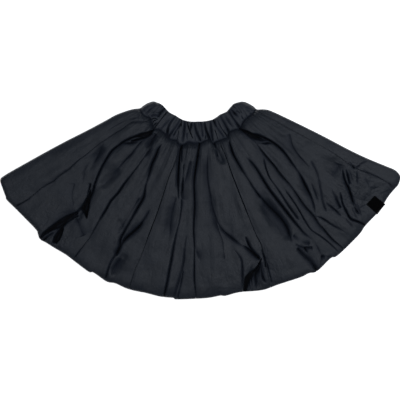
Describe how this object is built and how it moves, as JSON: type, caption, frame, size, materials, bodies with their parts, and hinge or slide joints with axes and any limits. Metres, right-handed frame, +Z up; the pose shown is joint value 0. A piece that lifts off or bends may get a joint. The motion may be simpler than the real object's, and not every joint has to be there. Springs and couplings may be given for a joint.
{
  "type": "padded flared skirt",
  "caption": "Padded black skirt with puffed radial gores, a gathered elastic waistband and a small folded label at the hem, laid flat on its back.",
  "frame": {"origin": "centre of the bounding box's bottom face, where the back of the skirt rests", "axes": "+Z up off the resting surface through the thickness, +Y towards the waist, +X to the wearer's left across the hem"},
  "size_m": [1.0848, 0.5394, 0.0557],
  "materials": {
    "shell_cloth": "black woven polyamide, soft satin",
    "waistband_cloth": "black woven polyamide, gathered",
    "wadding": "polyester batt",
    "lining_cloth": "black taffeta",
    "elastic": "woven elastic",
    "thread": "black polyester thread",
    "label_tape": "matt black woven tape"
  },
  "bodies": {
    "skirt": {"back_gore_1": "shell_cloth", "back_gore_2": "shell_cloth", "back_gore_3": "shell_cloth", "back_gore_4": "shell_cloth", "back_gore_5": "shell_cloth", "back_wadding_1": "wadding", "back_wadding_2": "wadding", "back_wadding_3": "wadding", "back_wadding_4": "wadding", "back_wadding_5": "wadding", "elastic_join_stitches": "thread", "front_gore_1": "shell_cloth", "front_gore_2": "shell_cloth", "front_gore_3": "shell_cloth", "front_gore_4": "shell_cloth", "front_gore_5": "shell_cloth", "front_gore_6": "shell_cloth", "front_wadding_1": "wadding", "front_wadding_2": "wadding", "front_wadding_3": "wadding", "front_wadding_4": "wadding", "front_wadding_5": "wadding", "front_wadding_6": "wadding", "gore_seam_threads_back": "thread", "gore_seam_threads_front": "thread", "hem_facing_back": "shell_cloth", "hem_facing_front": "shell_cloth", "hem_facing_thread": "thread", "hem_label_stitches": "thread", "hem_label_tail": "label_tape", "lining_back": "lining_cloth", "lining_front": "lining_cloth", "side_gore_left": "shell_cloth", "side_gore_right": "shell_cloth", "side_wadding_left": "wadding", "side_wadding_right": "wadding", "waist_elastic": "elastic", "waist_seam_thread": "thread", "waistband_casing_back": "waistband_cloth", "waistband_casing_front": "waistband_cloth"},
    "hem_label_flap": {"hem_label": "label_tape"}
  },
  "joints": [
    {"name": "hem_label_turn", "type": "hinge", "parent": "skirt", "child": "hem_label_flap", "pos_m": [0.48955, -0.02207, 0.0425], "axis": [0.5864, 0.81, 0], "range_deg": [0, 170]}
  ]
}
